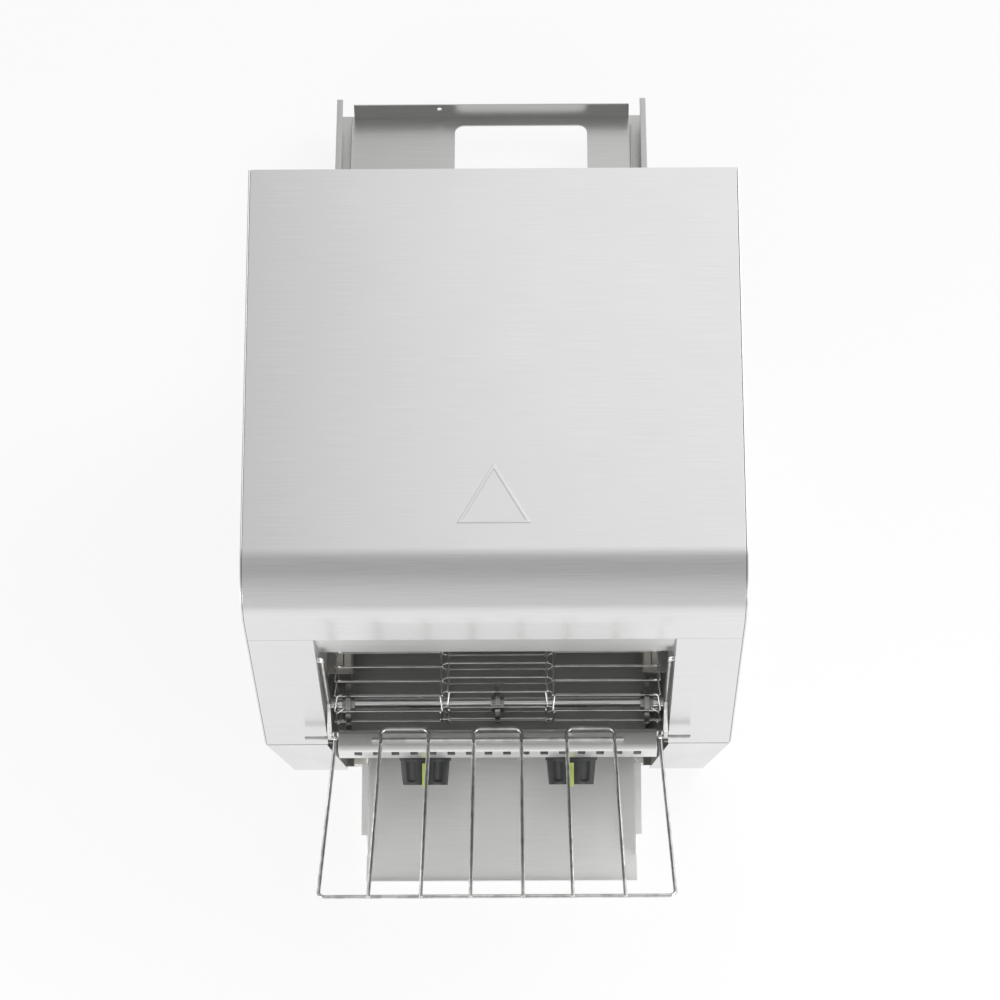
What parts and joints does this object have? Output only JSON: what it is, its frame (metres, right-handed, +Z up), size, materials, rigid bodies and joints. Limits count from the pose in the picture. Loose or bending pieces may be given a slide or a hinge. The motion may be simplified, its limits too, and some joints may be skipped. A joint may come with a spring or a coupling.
{
  "type": "conveyor toaster",
  "caption": "Countertop conveyor toaster with a wire belt between two rows of quartz heaters, a hinged wire feed rack, two rotary controls, and front and rear trays.",
  "frame": {"origin": "centre of the footprint, on the counter", "axes": "+X to the right seen from the front, +Y to the rear along the belt, +Z up"},
  "size_m": [0.3704, 0.7488, 0.3876],
  "materials": {
    "casing_steel": "brushed along the width, satin",
    "chassis_steel": "dull, heat-toned",
    "belt_wire": "drawn wire, dulled by heat",
    "shaft_steel": "turned",
    "chain_steel": "oiled",
    "rack_wire": "polished wire",
    "bush_brass": "turned",
    "ceramic": "stands in for white ceramic",
    "quartz": "clear",
    "coil_wire": "oxidised",
    "motor_grey": "satin",
    "black_plastic": "satin black",
    "lime_plastic": "pale lime",
    "ivory_plastic": "ivory",
    "foot_rubber": "matt"
  },
  "bodies": {
    "housing": {"top_cover": "casing_steel", "left_side_panel": "casing_steel", "right_side_panel": "casing_steel", "left_front_plate": "casing_steel", "right_front_plate": "casing_steel", "forehead_panel": "casing_steel", "back_panel": "casing_steel", "floor_plate": "chassis_steel", "left_base_leg": "casing_steel", "right_base_leg": "casing_steel", "rubber_feet": "foot_rubber", "left_chassis_plate": "chassis_steel", "right_chassis_plate": "chassis_steel", "upper_reflector": "chassis_steel", "landing_plate": "casing_steel", "control_panel": "casing_steel", "toast_chute": "casing_steel", "exit_ramp": "casing_steel", "shaft_bushes": "bush_brass", "belt_guide_rails": "chassis_steel", "belt_guide_blocks": "ceramic", "conveyor_belt": "belt_wire", "drive_chain": "chain_steel", "gear_motor": "motor_grey", "motor_bracket": "chassis_steel", "quartz_tubes": "quartz", "heating_coils": "coil_wire", "ceramic_caps": "ceramic", "selector_switch": "black_plastic", "speed_control": "black_plastic", "terminal_block": "ivory_plastic", "overheat_thermostat": "ceramic", "fan_frame": "black_plastic", "cable_gland": "black_plastic", "left_rack_hanger": "rack_wire", "right_rack_hanger": "rack_wire", "tray_slides": "ivory_plastic", "left_rear_rail": "casing_steel", "right_rear_rail": "casing_steel", "casing_screws": "shaft_steel"},
    "idler": {"idler_shaft": "shaft_steel", "idler_sprockets": "shaft_steel"},
    "drive": {"drive_shaft": "shaft_steel", "drive_sprockets": "shaft_steel", "chain_wheel": "shaft_steel"},
    "motor_output": {"motor_shaft": "shaft_steel", "motor_sprocket": "shaft_steel"},
    "fan": {"fan_rotor": "black_plastic"},
    "selector": {"selector_knob": "black_plastic", "selector_pointer": "lime_plastic", "selector_spindle": "shaft_steel"},
    "speed": {"speed_knob": "black_plastic", "speed_pointer": "lime_plastic", "speed_spindle": "shaft_steel"},
    "rack": {"feed_rack": "rack_wire"},
    "front_catch_tray": {"front_tray": "casing_steel"},
    "rear_catch_tray": {"rear_tray": "casing_steel"}
  },
  "joints": [
    {"name": "drive_spin", "type": "hinge", "parent": "housing", "child": "drive", "pos_m": [0, 0.09214, 0.09432], "axis": [1, 0, 0], "continuous": true, "deforming": ["conveyor_belt", "drive_chain"]},
    {"name": "idler_spin", "type": "hinge", "parent": "housing", "child": "idler", "pos_m": [0, -0.18386, 0.09432], "axis": [1, 0, 0], "continuous": true},
    {"name": "motor_spin", "type": "hinge", "parent": "housing", "child": "motor_output", "pos_m": [0.1502, 0.02014, 0.09432], "axis": [1, 0, 0], "continuous": true},
    {"name": "fan_spin", "type": "hinge", "parent": "housing", "child": "fan", "pos_m": [-0.1432, -0.00986, 0.19], "axis": [-1, 0, 0], "continuous": true},
    {"name": "selector_turn", "type": "hinge", "parent": "housing", "child": "selector", "pos_m": [-0.05775, -0.21615, 0.058], "axis": [0, 0.9511, 0.309], "range_deg": [0, 270]},
    {"name": "speed_turn", "type": "hinge", "parent": "housing", "child": "speed", "pos_m": [0.05775, -0.21615, 0.058], "axis": [0, 0.9511, 0.309], "range_deg": [-135, 135]},
    {"name": "feed_rack_tilt", "type": "hinge", "parent": "housing", "child": "rack", "pos_m": [0, -0.21636, 0.104], "axis": [-1, 0, 0], "range_deg": [0, 22]},
    {"name": "front_tray_slide", "type": "slide", "parent": "housing", "child": "front_catch_tray", "axis": [0, -1, 0], "range_m": [0, 0.11]},
    {"name": "rear_tray_lift", "type": "slide", "parent": "housing", "child": "rear_catch_tray", "axis": [0, 0.2419, 0.9703], "range_m": [0, 0.06]}
  ],
  "couplings": [
    {"joint": "idler_spin", "follows": "drive_spin", "ratio": 1},
    {"joint": "motor_spin", "follows": "drive_spin", "ratio": 1}
  ]
}
